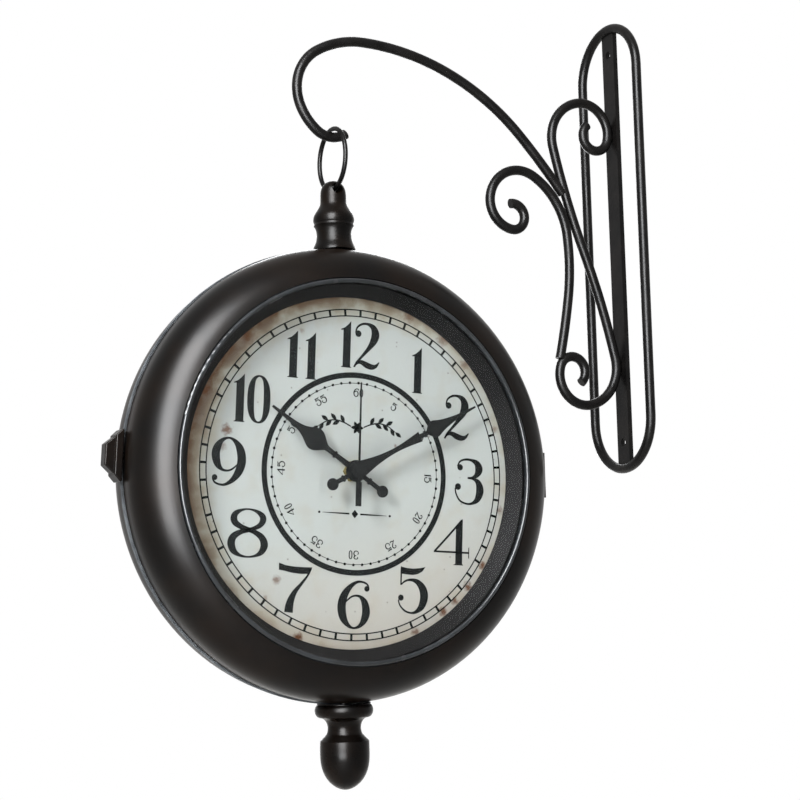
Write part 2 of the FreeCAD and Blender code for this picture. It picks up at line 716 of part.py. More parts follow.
face_parts.update({"second_arbor": second_arbor, "minute_arbor": minute_arbor, "hour_wheel": hour_wheel,
                   "set_wheel": set_wheel, "set_knob": set_knob})


def blade(group, low, thick):
    """Flat symmetric blade along +Z from pairs of distance and half width."""
    right = run_edges([group], lambda r, w: V(w, -low, r))
    left = run_edges([group], lambda r, w: V(-w, -low, r))
    ends = [Part.makeLine(V(w, -low, r), V(-w, -low, r)) for r, w in (group[0], group[-1])]
    return Part.Face(Part.Wire(Part.__sortEdges__(right + left + ends))).extrude(V(0, -thick, 0))


def collar(at_r, half_width, low, thick):
    """Small cross collar on a hand."""
    return blade([(at_r - collar_length / 2, half_width), (at_r + collar_length / 2, half_width)], low, thick)


def hand(share_groups, collar_shares, length, half_width, top):
    """Pieces of the blade of the hour or minute hand, with its collars, pointing up."""
    low = top - hand_thick
    pieces = [blade(scaled(shares, length, half_width), low, hand_thick) for shares in share_groups]
    for at_r, collar_half in scaled(collar_shares, length, half_width):
        pieces.append(collar(at_r, collar_half, low, hand_thick))
    return pieces


def with_tail(pieces, hub_dia, ball_at, ball_dia, bore_dia, top, angle):
    """Hand with its hub and the ball on its tail, bored for its arbor and turned to its time."""
    low = top - hand_thick
    pieces = pieces + [disc(hub_dia / 2, low, top)]
    tail = blade([(0, tail_half_width), (ball_at, tail_half_width)], low, hand_thick)
    ball = disc(ball_dia / 2, low, top, 0, ball_at)
    for piece in (tail, ball, collar(tail_collar_at, tail_collar_half_width, low, hand_thick)):
        piece.rotate(CENTRE, AXIS_Y, 180)
        pieces.append(piece)
    solid = joined(pieces).cut(disc(bore_dia / 2, low, top))
    solid.rotate(CENTRE, AXIS_Y, angle)
    return solid


hour_shares = [hour_stem_shares, hour_leaf_shares]
hour_pieces = hand(hour_shares, hour_collar_shares, hour_length, hour_half_width, hour_top)
face_parts["hour_hand"] = with_tail(hour_pieces, hour_hub_dia, hour_ball_at, hour_ball_dia,
                                    hour_dia, hour_top, hour_angle)
minute_shares = [minute_stem_shares, minute_waist_shares, minute_leaf_shares]
minute_pieces = hand(minute_shares, minute_collar_shares, minute_length, minute_half_width, minute_top)
face_parts["minute_hand"] = with_tail(minute_pieces, minute_hub_dia, minute_ball_at, minute_ball_dia,
                                      minute_dia, minute_top, minute_angle)
second_low = second_top - second_thick
second_pairs = scaled(second_blade_shares, second_length, second_half_width)
second_pieces = [blade(second_pairs, second_low, second_thick)]
second_pieces.append(disc(second_hub_dia / 2, second_low, second_top))
for shares in (second_tail_shares, second_weight_shares):
    piece = blade(scaled(shares, second_tail_length, second_half_width), second_low, second_thick)
    piece.rotate(CENTRE, AXIS_Y, 180)
    second_pieces.append(piece)
second_hand = joined(second_pieces)
second_hand = second_hand.cut(disc(second_dia / 2, second_low, second_top))
second_hand = joined([second_hand, disc(second_cap_dia / 2, second_top, second_top + second_cap_thick)])
second_hand.rotate(CENTRE, AXIS_Y, second_angle)
face_parts["second_hand"] = second_hand

for name, piece in face_parts.items():
    parts["front_" + name] = piece
    parts["rear_" + name] = to_rear(piece)

# Hang the clock and write one file per piece
fixed_nodes = ("wall_loop", "wall_strip", "s_scroll", "side_scroll", "hook_arm", "hanging_ring")
os.makedirs("parts", exist_ok=True)
for name, piece in parts.items():
    placed = piece if name in fixed_nodes else hung(piece)
    placed.exportStep("parts/" + name + ".step")
    box = placed.BoundBox
    print(name, placed.isValid(), len(placed.Solids), round(placed.Volume, 1),
          [round(value, 1) for value in (box.XMin, box.XMax, box.YMin, box.YMax, box.ZMin, box.ZMax)])
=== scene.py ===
import json
import math

import bmesh
import bpy
from mathutils import Matrix, Vector


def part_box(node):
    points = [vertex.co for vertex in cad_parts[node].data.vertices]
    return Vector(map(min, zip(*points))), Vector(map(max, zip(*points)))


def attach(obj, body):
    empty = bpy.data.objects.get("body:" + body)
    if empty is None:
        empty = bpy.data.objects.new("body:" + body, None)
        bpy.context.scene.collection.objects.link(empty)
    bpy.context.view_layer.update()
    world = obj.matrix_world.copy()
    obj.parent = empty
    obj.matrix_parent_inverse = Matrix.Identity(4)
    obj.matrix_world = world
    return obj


bl_info = {
    "name": "Double-sided wall clock",
    "version": (1, 0, 0),
    "blender": (4, 5, 0),
    "location": "View3D > Sidebar > Clock",
    "description": "Finishes, dial print and stage of a double-sided wall clock on a scroll bracket",
    "category": "Object",
}

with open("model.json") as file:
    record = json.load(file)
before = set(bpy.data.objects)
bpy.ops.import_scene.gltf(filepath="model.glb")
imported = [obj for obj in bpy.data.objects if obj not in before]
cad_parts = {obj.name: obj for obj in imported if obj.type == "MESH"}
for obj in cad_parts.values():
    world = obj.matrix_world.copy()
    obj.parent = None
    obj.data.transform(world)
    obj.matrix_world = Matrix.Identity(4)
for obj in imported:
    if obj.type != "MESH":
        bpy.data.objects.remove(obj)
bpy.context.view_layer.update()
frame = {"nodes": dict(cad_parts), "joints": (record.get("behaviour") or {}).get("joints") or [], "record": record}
MM = 0.001

# Axis of the hands, read from the frame; it runs through the clock's middle
AXIS = next(Vector(joint["pos_m"]) for joint in frame["joints"] if joint["name"] == "front_minute_turn")

# Each face: the body that its dial rides on, the side of the case it looks to, and its painted plane
FACES = {
    "front": {"body": "door", "side": -1, "plane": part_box("front_dial")[0].y},
    "rear": {"body": "clock", "side": 1, "plane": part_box("rear_dial")[1].y},
}

# Numerals in hundredths of their height, drawn with a broad pen: strokes are x, height and pen width
# A stroke whose first and last points agree is closed; balls are x, height and radius; plates are outlines
SIX = {
    "width": 75,
    "strokes": [[(71, 86, 3), (66, 94, 4), (54, 98, 4.5), (42, 96.5, 6), (27, 86, 11), (14.5, 68, 17),
                 (9.5, 46, 19), (13.5, 24, 17), (24, 9, 9.5), (37.5, 2.2, 4.5), (52, 7, 8), (62, 20, 15.5),
                 (66, 37, 18), (61.5, 56, 14.5), (52, 66.5, 7), (42, 69, 4.5), (31, 66, 4), (19, 56, 3)]],
    "balls": [(66.5, 84, 6)],
    "plates": [],
}
GLYPHS = {
    "0": {
        "width": 51,
        "strokes": [[(25.5, 98, 4), (36, 92, 8), (42, 75, 13.5), (43.5, 50, 15), (42, 25, 13.5), (36, 8, 8),
                     (25.5, 2, 4), (15, 8, 8), (9, 25, 13.5), (7.5, 50, 15), (9, 75, 13.5), (15, 92, 8),
                     (25.5, 98, 4)]],
        "balls": [],
        "plates": [],
    },
    "1": {
        "width": 25,
        "strokes": [],
        "balls": [],
        "plates": [[(23, 100), (23, 3), (25.5, 1.5), (25.5, 0), (2, 0), (2, 1.5), (5.5, 3), (5.5, 80),
                    (0, 79), (0, 81.5), (8, 85), (16, 92)]],
    },
    "2": {
        "width": 64,
        "strokes": [[(5, 76, 3), (8.5, 88, 4), (19, 96, 5), (33, 97.5, 6), (46, 91, 13), (51.5, 77, 18.5),
                     (47.5, 62, 16), (37, 46, 9.5), (23, 29, 6), (10, 14, 5), (3.5, 3, 4)],
                    [(2.5, 3, 2.5), (10, 12, 6), (20, 14.5, 9.5), (32, 9.5, 13), (44, 6.5, 12), (54, 9, 7.5),
                     (62, 18, 2)]],
        "balls": [(11.5, 75, 7)],
        "plates": [],
    },
    "3": {
        "width": 73,
        "strokes": [[(7.5, 82, 3), (14, 93, 4), (27, 97.8, 5), (42, 97, 6.5), (55.5, 90.5, 14),
                     (60.5, 78, 18.5), (55, 65.5, 12), (45, 59.8, 5), (33, 58, 4)],
                    [(33, 58, 4), (47, 56.5, 5), (59, 49.5, 13), (64, 32.5, 18.5), (58.5, 14, 14),
                     (46, 4, 6.5), (31, 2.2, 4.5), (15, 8, 4), (5.5, 22, 3.2), (3, 35, 3)]],
        "balls": [(14, 80, 6.8), (9.6, 38, 7.2)],
        "plates": [],
    },
    "4": {
        "width": 86,
        "strokes": [[(67, 97, 4.5), (35, 62.5, 4.5), (2.5, 28.5, 4.5)]],
        "balls": [],
        "plates": [[(69, 100), (69, 3), (71.5, 1.5), (71.5, 0), (48.5, 0), (48.5, 1.5), (52.5, 3),
                    (52.5, 82)],
                   [(0, 25.5), (86, 25.5), (86, 29.5), (0, 29.5)],
                   [(84, 17), (86, 14), (86, 40), (84, 38)]],
    },
    "5": {
        "width": 72,
        "strokes": [[(8, 96, 3.4), (8, 78, 3.4), (8, 60, 3.4)],
                    [(8, 60.5, 3), (17, 68, 4), (30, 71.5, 5.5), (46, 68, 11), (59, 55, 17), (63.5, 37, 19),
                     (58, 17, 15), (46, 5.5, 8), (34, 2.2, 4.5), (19, 6, 4), (7, 17, 3.3), (2.5, 29, 3)]],
        "balls": [(8.5, 33.5, 6.5)],
        "plates": [[(6.5, 99), (22, 96), (36, 95.3), (52, 97), (65.5, 100), (58, 90), (48, 84.5), (36, 82),
                    (20, 82.5), (6.5, 84)]],
    },
    "6": SIX,
    "7": {
        "width": 75,
        "strokes": [[(72, 90, 4), (64, 75, 4.5), (50.5, 58, 6.5), (38, 43, 10), (29.5, 26, 15), (26, 12, 18),
                     (25, 0, 19)]],
        "balls": [],
        "plates": [[(0.5, 100), (16, 95.5), (34, 93.5), (56, 93), (75, 93.5), (69, 80), (50, 79), (30, 80.5),
                    (12, 84), (0.5, 85.5)]],
    },
    "8": {
        "width": 88,
        "strokes": [[(43, 98.2, 3.5), (60, 95, 6.5), (73, 86.5, 12.5), (75.5, 77.5, 14), (70, 67.5, 11),
                     (57, 60, 8.5), (43, 55.5, 9), (27, 51, 10.5), (13, 42, 14.5), (8, 29, 16.5),
                     (13, 14, 14), (26, 5, 7), (44, 1.8, 3.8), (62, 5, 6), (75, 14, 12.5), (80, 28, 16.5),
                     (74, 42, 14), (60, 51.5, 10.5), (43, 57.5, 9.5), (28, 62, 11), (15, 70, 13.5),
                     (12, 79, 14.5), (16, 88.5, 11.5), (28, 95.5, 6), (43, 98.2, 3.5)]],
        "balls": [],
        "plates": [],
    },
    "9": {
        "width": SIX["width"],
        "strokes": [[(SIX["width"] - x, 100 - y, pen) for x, y, pen in SIX["strokes"][0]]],
        "balls": [(SIX["width"] - x, 100 - y, radius) for x, y, radius in SIX["balls"]],
        "plates": [],
    },
}

# Space between the two figures of a numeral, in hundredths of their height: the usual one and exceptions
FIGURE_GAP = 9
PAIR_GAPS = {"10": 5, "11": 16, "12": 4}

# Share of the drawn pen width that the small figures add to their least pen width
LIGHT_PEN = 0.3

# How far each hour numeral sits from its even place, in millimetres to the right and up
NUDGES = {1: (0.3, -1.5), 3: (-0.9, 0), 4: (-1.6, 1.6), 5: (0.8, -0.2), 6: (1.0, 0.2), 7: (1.8, -1.7),
          9: (-3.0, 1.4), 10: (-0.6, 0.1), 11: (1.3, 0.5), 12: (0.7, -0.6)}

# Ornaments, in millimetres from the dial's middle; the right half is given
# Stem and line: to the right, up, pen width; leaves: to the right, up, degrees from upright, length, width
ROSETTE_UP = 26
ROSETTE_PETALS = 6
STEM = [(4, 26.5, 0.7), (9, 28.6, 0.8), (14, 29.4, 0.8), (19, 28.4, 0.7), (24, 25.4, 0.5)]
LEAVES = [(8, 28.2, 30, 5.2, 2.3), (13, 29.3, 45, 5.2, 2.3), (18, 28.7, 60, 5.2, 2.3),
          (11, 29.2, 120, 5.2, 2.3), (16, 29.2, 135, 5.2, 2.3), (21, 27.4, 150, 5.2, 2.3),
          (24, 25.4, 125, 5.0, 2.2)]
LOZENGE = [(0, -20.6), (2.1, -23), (0, -25.4), (-2.1, -23)]
DIVIDER = [(3.4, -23, 1.0), (9, -23, 0.8), (15, -23, 0.5), (20, -23, 0.2)]
DIVIDER_DOT = (22, -23, 0.7)

# Marks on the minute track and on the dot circle, and how far the ink starts above the dial, in millimetres
MINUTES = 60
INK_LIFT = 0.01


def linear(hex_colour):
    """Linear red, green and blue of an sRGB hex colour."""
    values = [int(hex_colour[start:start + 2], 16) / 255 for start in (1, 3, 5)]
    return tuple(v / 12.92 if v <= 0.04045 else ((v + 0.055) / 1.055) ** 2.4 for v in values)


def length(name, description, millimetres):
    """A length of the settings, given in millimetres."""
    return bpy.props.FloatProperty(name=name, description=description, default=millimetres * MM,
                                   unit="LENGTH", precision=5)


def colour(name, description, hex_colour):
    """A colour of the settings, given as sRGB hex."""
    return bpy.props.FloatVectorProperty(name=name, description=description, default=linear(hex_colour),
                                         subtype="COLOR", size=3, min=0, max=1)


def angle(name, description, degrees):
    """An angle of the settings, given in degrees."""
    return bpy.props.FloatProperty(name=name, description=description, default=math.radians(degrees),
                                   subtype="ANGLE")


class ClockDialSettings(bpy.types.PropertyGroup):
    """Sizes of the print on both dials"""
    print_thick: length("Print thickness", "How far the ink stands above the dial", 0.06)
    print_turn: angle("Print turn", "How far the print sits turned in the case", 3.2)
    print_right: length("Print offset, right", "How far the print sits right of the hands' axis", 1.7)
    print_up: length("Print offset, up", "How far the print sits above the hands' axis", -1.0)
    track_outer: length("Track outer radius", "Outer line of the minute track", 94.1)
    track_inner: length("Track inner radius", "Inner line of the minute track", 90.4)
    track_line: length("Track line", "Width of the two track lines", 0.7)
    tick_width: length("Tick width", "Width of the minute ticks", 1.4)
    ring_outer: length("Ring outer radius", "Outer edge of the heavy ring", 57.6)
    ring_width: length("Ring width", "Width of the heavy ring", 3.2)
    dot_circle: length("Dot circle radius", "Circle of the seconds dots", 51.6)
    dot_line: length("Dot circle line", "Width of the line through the dots", 0.35)
    dot_size: length("Dot diameter", "Diameter of the seconds dots", 1.6)
    numeral_height: length("Numeral height", "Height of the hour numerals", 27.0)
    numeral_circle: length("Numeral circle radius", "Circle of the numerals' middles", 74.0)
    small_height: length("Small figure height", "Height of the seconds figures", 4.7)
    small_circle: length("Small figure circle radius", "Circle of the seconds figures' middles", 46.0)
    small_pen: length("Small figure pen", "Least pen width of the seconds figures", 0.42)


class ClockFinishSettings(bpy.types.PropertyGroup):
    """Colours of the finishes"""
    iron: colour("Iron", "Black paint of the bracket", "#0B0A0A")
    enamel: colour("Enamel", "Dark brown enamel of the case", "#080605")
    enamel_light: colour("Enamel, lighter", "Thin places in the enamel", "#130C07")
    # painted highlight: this grey stands in for the light line on the bead's edge
    bead: colour("Bead", "Enamel of the bead, polished by wiping", "#303336")
    cone: colour("Dial ring", "Dark grey paint of the cone round the dial", "#1F1E1E")
    paper: colour("Dial", "Cool white of the dial", "#CFD6D3")
    aged: colour("Dial, aged", "Warm tone of the dial towards its edge", "#B5A98A")
    rust: colour("Dial, rust", "Rust at the dial's edge", "#5E3A22")
    ink: colour("Ink", "Print of the dial", "#0C0F0E")
    hands: colour("Hands", "Black paint of the hands", "#0E0F0F")


class ClockStageSettings(bpy.types.PropertyGroup):
    """Camera and floor"""
    lens: bpy.props.FloatProperty(name="Lens", description="Focal length on a 36 mm sensor", default=78.75,
                                  subtype="DISTANCE_CAMERA")
    azimuth: angle("Azimuth", "Camera's turn about the clock, negative to the left", -27.1)
    elevation: angle("Elevation", "Camera's height angle, negative below the clock", -6.7)
    roll: angle("Roll", "Camera's tilt", -1.45)
    distance: length("Distance", "From the camera to the plane of the clock's middle", 1005.4)
    floor_drop: length("Floor drop", "From the part's origin down to the floor", 750.0)


# The picture: its side in pixels, the sensor's in millimetres, and the pixel of the clock's middle
PICTURE_SIZE = 800
SENSOR_WIDTH = 36
CLOCK_PIXEL = (339.0, 474.2)

# Strength of the white surroundings in the matt light, and to the camera, in gloss and through glass
ROOM_MATT = 0.2
ROOM_SEEN = 1.0

# Radius of the floor in metres
FLOOR_RADIUS = 1.5

# Lamps: name, place from the clock's middle and sides in metres, power in watts, tone, in gloss, in matt
# The key comes from the left and lets the rim shade the dial; the two boxes show as gloss only
COOL = (0.96, 0.98, 1.0)
WARM = (1.0, 0.98, 0.96)
LAMPS = (
    ("key", (-1.55, -0.8, 0.95), (0.35, 0.8), 38, COOL, False, True),
    ("soft_box", (-0.6, -0.82, 0.34), (0.6, 1.4), 180, COOL, True, False),
    ("fill", (0.9, -1.9, 0.6), (1.2, 1.2), 8, WARM, False, True),
    ("top", (-0.1, -0.1, 1.9), (1.6, 1.6), 46, WARM, False, True),
    ("back", (0.9, 1.7, 0.7), (0.8, 1.2), 40, WARM, False, True),
    ("back_box", (0.6, 1.3, 0.35), (0.5, 1.3), 14, COOL, True, False),
)


def add_node(tree, kind, settings=(), links=()):
    """One node: settings pair a socket or property with its value, links pair a socket with its source."""
    node = tree.nodes.new(kind)
    for key, value in settings:
        if isinstance(key, int) or key in node.inputs:
            node.inputs[key].default_value = value
        else:
            setattr(node, key, value)
    for key, source in links:
        tree.links.new(source, node.inputs[key])
    return node


def per_metre(millimetres):
    """Texture scale at which one feature is this many millimetres wide."""
    return 1 / (millimetres * MM)


def new_material(name, specular=0.5):
    """Node material with its tree, its principled shader at a specular level, and the object coordinates."""
    material = bpy.data.materials.new(name)
    material.use_nodes = True
    tree = material.node_tree
    shader = tree.nodes["Principled BSDF"]
    shader.inputs["Specular IOR Level"].default_value = specular
    place = add_node(tree, "ShaderNodeTexCoord").outputs["Object"]
    return material, tree, shader, place


def layer(tree, under, tone, value, span, shares=(0.0, 1.0)):
    """Socket of a tone laid over a colour or socket; its share changes as a value runs through a span."""
    share = add_node(tree, "ShaderNodeMapRange",
                     [("From Min", span[0]), ("From Max", span[1]),
                      ("To Min", shares[0]), ("To Max", shares[1])],
                     [("Value", value)])
    mix = add_node(tree, "ShaderNodeMix", [("data_type", "RGBA"), (7, (*tone, 1))],
                   [(0, share.outputs["Result"])])
    if isinstance(under, bpy.types.NodeSocket):
        tree.links.new(under, mix.inputs[6])
    else:
        mix.inputs[6].default_value = (*under, 1)
    return mix.outputs[2]


def two_tone(tree, place, shader, first, second, patch_mm, low=0.4, high=0.65):
    """Base colour that drifts between two tones in soft patches; gives its socket back."""
    noise = add_node(tree, "ShaderNodeTexNoise", [("Scale", per_metre(patch_mm)), ("Detail", 4.0)],
                     [("Vector", place)])
    tone = layer(tree, first, second, noise.outputs["Fac"], (low, high))
    tree.links.new(tone, shader.inputs["Base Color"])
    return tone


def uneven_gloss(tree, place, shader, low, high, patch_mm):
    """Roughness that drifts between two values."""
    noise = add_node(tree, "ShaderNodeTexNoise", [("Scale", per_metre(patch_mm)), ("Detail", 5.0)],
                     [("Vector", place)])
    rough = add_node(tree, "ShaderNodeMapRange",
                     [("From Min", 0.3), ("From Max", 0.7), ("To Min", low), ("To Max", high)],
                     [("Value", noise.outputs["Fac"])])
    tree.links.new(rough.outputs["Result"], shader.inputs["Roughness"])


def relief(tree, place, shader, grain_mm, depth_mm, detail=3.0):
    """Fine relief of the surface."""
    noise = add_node(tree, "ShaderNodeTexNoise", [("Scale", per_metre(grain_mm)), ("Detail", detail)],
                     [("Vector", place)])
    bump = add_node(tree, "ShaderNodeBump", [("Strength", 1.0), ("Distance", depth_mm * MM)],
                    [("Height", noise.outputs["Fac"])])
    tree.links.new(bump.outputs["Normal"], shader.inputs["Normal"])


def about_axis(tree, place, across=1):
    """Places in the plane of the dials, measured from the hands' axis, and their distances from it."""
    middle = add_node(tree, "ShaderNodeVectorMath", [("operation", "SUBTRACT"), (1, tuple(AXIS))],
                      [(0, place)])
    flat = add_node(tree, "ShaderNodeVectorMath", [("operation", "MULTIPLY"), (1, (across, 0, 1))],
                    [(0, middle.outputs["Vector"])]).outputs["Vector"]
    radius = add_node(tree, "ShaderNodeVectorMath", [("operation", "LENGTH")], [(0, flat)])
    return flat, radius.outputs["Value"]


def forged_iron(finish):
    """Forged round bar, brushed with black paint: uneven under the paint, half gloss."""
    material, tree, shader, place = new_material("forged_iron_black_paint", 0.08)
    two_tone(tree, place, shader, finish.iron, linear("#141211"), 14)
    uneven_gloss(tree, place, shader, 0.26, 0.42, 9)
    relief(tree, place, shader, 5.0, 0.12)
    return material


def brown_enamel(finish):
    """Pressed sheet steel, sprayed and baked dark brown enamel: satin with a soft orange peel."""
    material, tree, shader, place = new_material("pressed_steel_brown_enamel", 0.08)
    two_tone(tree, place, shader, finish.enamel, finish.enamel_light, 45)
    uneven_gloss(tree, place, shader, 0.28, 0.34, 30)
    relief(tree, place, shader, 1.6, 0.004)
    return material


def turned_enamel(finish):
    """Turned finials and knob under the same enamel: soft lathe rings show through it."""
    material, tree, shader, place = new_material("turned_metal_brown_enamel", 0.06)
    two_tone(tree, place, shader, finish.enamel, finish.enamel_light, 20)
    uneven_gloss(tree, place, shader, 0.24, 0.34, 12)
    # the wave runs through 20 radians per unit of its scale, so the rings stand 2 pi times 1.1 mm apart
    rings = add_node(tree, "ShaderNodeTexWave",
                     [("wave_type", "BANDS"), ("bands_direction", "Z"), ("Scale", per_metre(1.1) / 20),
                      ("Distortion", 0.4)],
                     [("Vector", place)])
    bump = add_node(tree, "ShaderNodeBump", [("Strength", 1.0), ("Distance", 0.05 * MM)],
                    [("Height", rings.outputs["Fac"])])
    tree.links.new(bump.outputs["Normal"], shader.inputs["Normal"])
    return material


def rubbed_rib(finish):
    """Edge of the steel hoop, painted light grey: a painted highlight line round the case."""
    material, tree, shader, place = new_material("steel_hoop_painted_highlight", 0.02)
    # painted highlight: these two light greys stand in for the light that the hoop's edge catches
    highlight_grey = two_tone(tree, place, shader, linear("#6E7276"), linear("#4A4D50"), 16)
    # only the edge that stands out of the case gets the painted highlight grey, the hoop inside keeps its enamel
    low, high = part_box("case_band")
    edge = (high.x - low.x) / 2
    radius = about_axis(tree, place)[1]
    tone = layer(tree, highlight_grey, finish.enamel_light, radius, (edge - 2.6 * MM, edge - 2.0 * MM), (1.0, 0.0))
    tree.links.new(tone, shader.inputs["Base Color"])
    uneven_gloss(tree, place, shader, 0.5, 0.62, 8)
    return material


def bead_enamel(finish):
    """Rolled bead in grey enamel: a painted highlight, a fine grey line round the opening."""
    material, tree, shader, place = new_material("rolled_bead_painted_highlight", 0.2)
    # painted highlight: the bead's greys stand in for the light that its edge catches
    two_tone(tree, place, shader, finish.bead, linear("#26282A"), 18)
    uneven_gloss(tree, place, shader, 0.18, 0.3, 12)
    return material


def cone_enamel(finish):
    """Spun dial ring, flat dark grey paint: even, it takes the light like slate."""
    material, tree, shader, place = new_material("spun_steel_flat_grey_paint", 0.04)
    two_tone(tree, place, shader, finish.cone, linear("#191818"), 30)
    uneven_gloss(tree, place, shader, 0.42, 0.52, 20)
    return material


def window_glass():
    """Clear window glass: thin, so nothing but a faint gloss shows."""
    material, tree, shader, place = new_material("clear_window_glass")
    two_tone(tree, place, shader, linear("#20282A"), linear("#263032"), 60)
    shader.inputs["Roughness"].default_value = 0.03
    shader.inputs["Alpha"].default_value = 0.05
    return material


# Stains on the dial, in millimetres from its middle: to the right, up, radius, strength
STAINS = [
    (-76, 22, 5.5, 0.85), (-79, 13, 4.5, 0.5), (-48, -60, 4.5, 0.7), (-55, -70, 3.0, 0.5),
    (-36, -92, 5.5, 0.95), (55, -80, 5.0, 0.9), (63, -74, 4.0, 0.85), (72, -66, 5.0, 0.9),
    (82, -54, 4.5, 0.9), (37, -91, 4.5, 0.75), (60, 78, 7.0, 0.6), (38, 91, 6.0, 0.6),
    (74, 64, 5.0, 0.6), (93, 26, 4.0, 0.55), (95, -22, 4.0, 0.6), (-30, 79, 3.0, 0.4),
    (-62, 74, 7.0, 0.6), (-88, 44, 6.0, 0.7), (27, 15, 1.6, 0.6), (49, 21, 1.3, 0.6),
]


def aged_dial(finish, face):
    """Paper print on a sheet metal dial: cool white, foxed brown at the edge and darkened at the left by painted
    shade of the rim, with stains and fine grit.
    """
    material, tree, shader, place = new_material("printed_paper_dial_" + face, 0.06)
    shader.inputs["Roughness"].default_value = 0.62
    side = FACES[face]["side"]
    flat, radius = about_axis(tree, place, -side)
    cloud = add_node(tree, "ShaderNodeTexNoise", [("Scale", per_metre(16)), ("Detail", 6.0)],
                     [("Vector", flat)]).outputs["Fac"]
    grit = add_node(tree, "ShaderNodeTexNoise", [("Scale", per_metre(2.2)), ("Detail", 2.0)],
                    [("Vector", flat)]).outputs["Fac"]
    # warm edge and rust, ragged by the clouds and wider at the top and the left: partly real foxing, partly
    # painted shade that the rim casts on the left of the dial
    dirt_and_shade_lean = add_node(tree, "ShaderNodeVectorMath", [("operation", "DOT_PRODUCT"), (1, (-0.055, 0, 0.04))],
                    [(0, flat)]).outputs["Value"]
    # this edge distance carries the painted shade at the left as well as the ageing of the edge
    worn = add_node(tree, "ShaderNodeMath", [("operation", "ADD")], [(0, radius), (1, dirt_and_shade_lean)]).outputs["Value"]
    ragged = add_node(tree, "ShaderNodeMath", [("operation", "MULTIPLY_ADD"), (1, 26 * MM)],
                      [(0, cloud), (2, worn)]).outputs["Value"]
    tone = layer(tree, finish.paper, finish.aged, ragged, (100 * MM, 117 * MM), (0.0, 0.9))
    tone = layer(tree, tone, finish.rust, ragged, (109.5 * MM, 118 * MM), (0.0, 0.9))
    # broad warm clouds over the paper
    tone = layer(tree, tone, linear("#C4BFAE"), cloud, (0.5, 0.75), (0.0, 0.4))
    # warm tone that grows towards the lower edge
    lower = add_node(tree, "ShaderNodeVectorMath", [("operation", "DOT_PRODUCT"), (1, (0.25, 0, -1))],
                     [(0, flat)]).outputs["Value"]
    tone = layer(tree, tone, linear("#CDBDAA"), lower, (25 * MM, 105 * MM), (0.0, 0.5))
    # single stains
    for right, up, size, most in STAINS:
        away = add_node(tree, "ShaderNodeVectorMath",
                        [("operation", "DISTANCE"), (1, (right * MM, 0, up * MM))],
                        [(0, flat)]).outputs["Value"]
        wavy = add_node(tree, "ShaderNodeMath", [("operation", "MULTIPLY_ADD"), (1, size * MM)],
                        [(0, grit), (2, away)]).outputs["Value"]
        tone = layer(tree, tone, linear("#6B3D1C"), wavy, (0.7 * size * MM, 1.2 * size * MM), (most, 0.0))
    # fine grey grit
    speck = add_node(tree, "ShaderNodeTexVoronoi", [("Scale", per_metre(9)), ("Randomness", 1.0)],
                     [("Vector", flat)]).outputs["Distance"]
    tone = layer(tree, tone, linear("#6E6A60"), speck, (0.03, 0.08), (0.6, 0.0))
    # the sheet behind the paper is grey primer
    behind = add_node(tree, "ShaderNodeVectorMath", [("operation", "DOT_PRODUCT"), (1, (0, -side, 0))],
                      [(0, place)]).outputs["Value"]
    front = -side * FACES[face]["plane"]
    tone = layer(tree, tone, linear("#7C8082"), behind, (front + 0.2 * MM, front + 0.3 * MM))
    tree.links.new(tone, shader.inputs["Base Color"])
    return material


def dial_ink(finish):
    """Screen-printed ink: matt near-black, a little worn."""
    material, tree, shader, place = new_material("screen_print_ink", 0.06)
    two_tone(tree, place, shader, finish.ink, linear("#1F2422"), 3.0, 0.5, 0.8)
    shader.inputs["Roughness"].default_value = 0.6
    return material


def hand_paint(finish):
    """Stamped sheet steel hands, black satin paint."""
    material, tree, shader, place = new_material("stamped_steel_black_paint", 0.12)
    two_tone(tree, place, shader, finish.hands, linear("#1A1C1B"), 6)
    uneven_gloss(tree, place, shader, 0.4, 0.52, 4)
    return material


# Plain finishes of the works: name, two tones, patch size in millimetres, roughness range, metallic
WORKS_FINISHES = {
    "brass": ("turned_brass_dull", "#857A4C", "#685E38", 5, (0.5, 0.62), 0.5),
    "zinc_steel": ("zinc_plated_steel", "#9EA3A8", "#7F868C", 4, (0.3, 0.45), 1.0),
    "black_plastic": ("moulded_black_plastic", "#16171A", "#222326", 8, (0.45, 0.6), 0.0),
    "white_plastic": ("moulded_white_acetal", "#E4E2DA", "#D6D3C8", 6, (0.4, 0.5), 0.0),
    "battery_jacket": ("printed_battery_foil", "#2D5E3A", "#234A2E", 12, (0.25, 0.35), 0.4),
    "rubber": ("black_rubber", "#1B1B1B", "#262626", 3, (0.7, 0.85), 0.0),
    "copper_coil": ("enamelled_copper_wire", "#A8562E", "#8B4524", 0.8, (0.3, 0.45), 1.0),
}


def works_finish(slot):
    """Finish of a part of the works, as moulded, turned or plated."""
    name, first, second, patch, (low, high), metallic = WORKS_FINISHES[slot]
    material, tree, shader, place = new_material(name, 0.16)
    two_tone(tree, place, shader, linear(first), linear(second), patch)
    uneven_gloss(tree, place, shader, low, high, patch)
    relief(tree, place, shader, 0.6, 0.003)
    shader.inputs["Metallic"].default_value = metallic
    return material


def dress(node, material):
    """Gives a CAD node its material in every slot."""
    mesh = frame["nodes"][node].data
    mesh.materials.clear()
    mesh.materials.append(material)


def smooth(points, closed, steps):
    """Smooth curve through points of any number of values."""
    last = len(points) - 1
    curve = []
    for index in range(last):
        before = points[index - 1] if index else (points[last - 1] if closed else points[0])
        after = points[index + 2] if index + 2 <= last else (points[1] if closed else points[last])
        for step in range(steps):
            t = step / steps
            curve.append(tuple(
                0.5 * (2 * b + (c - a) * t + (2 * a - 5 * b + 4 * c - d) * t * t
                       + (3 * b - a - 3 * c + d) * t ** 3)
                for a, b, c, d in zip(before, points[index], points[index + 1], after)))
    curve.append(points[last])
    return curve


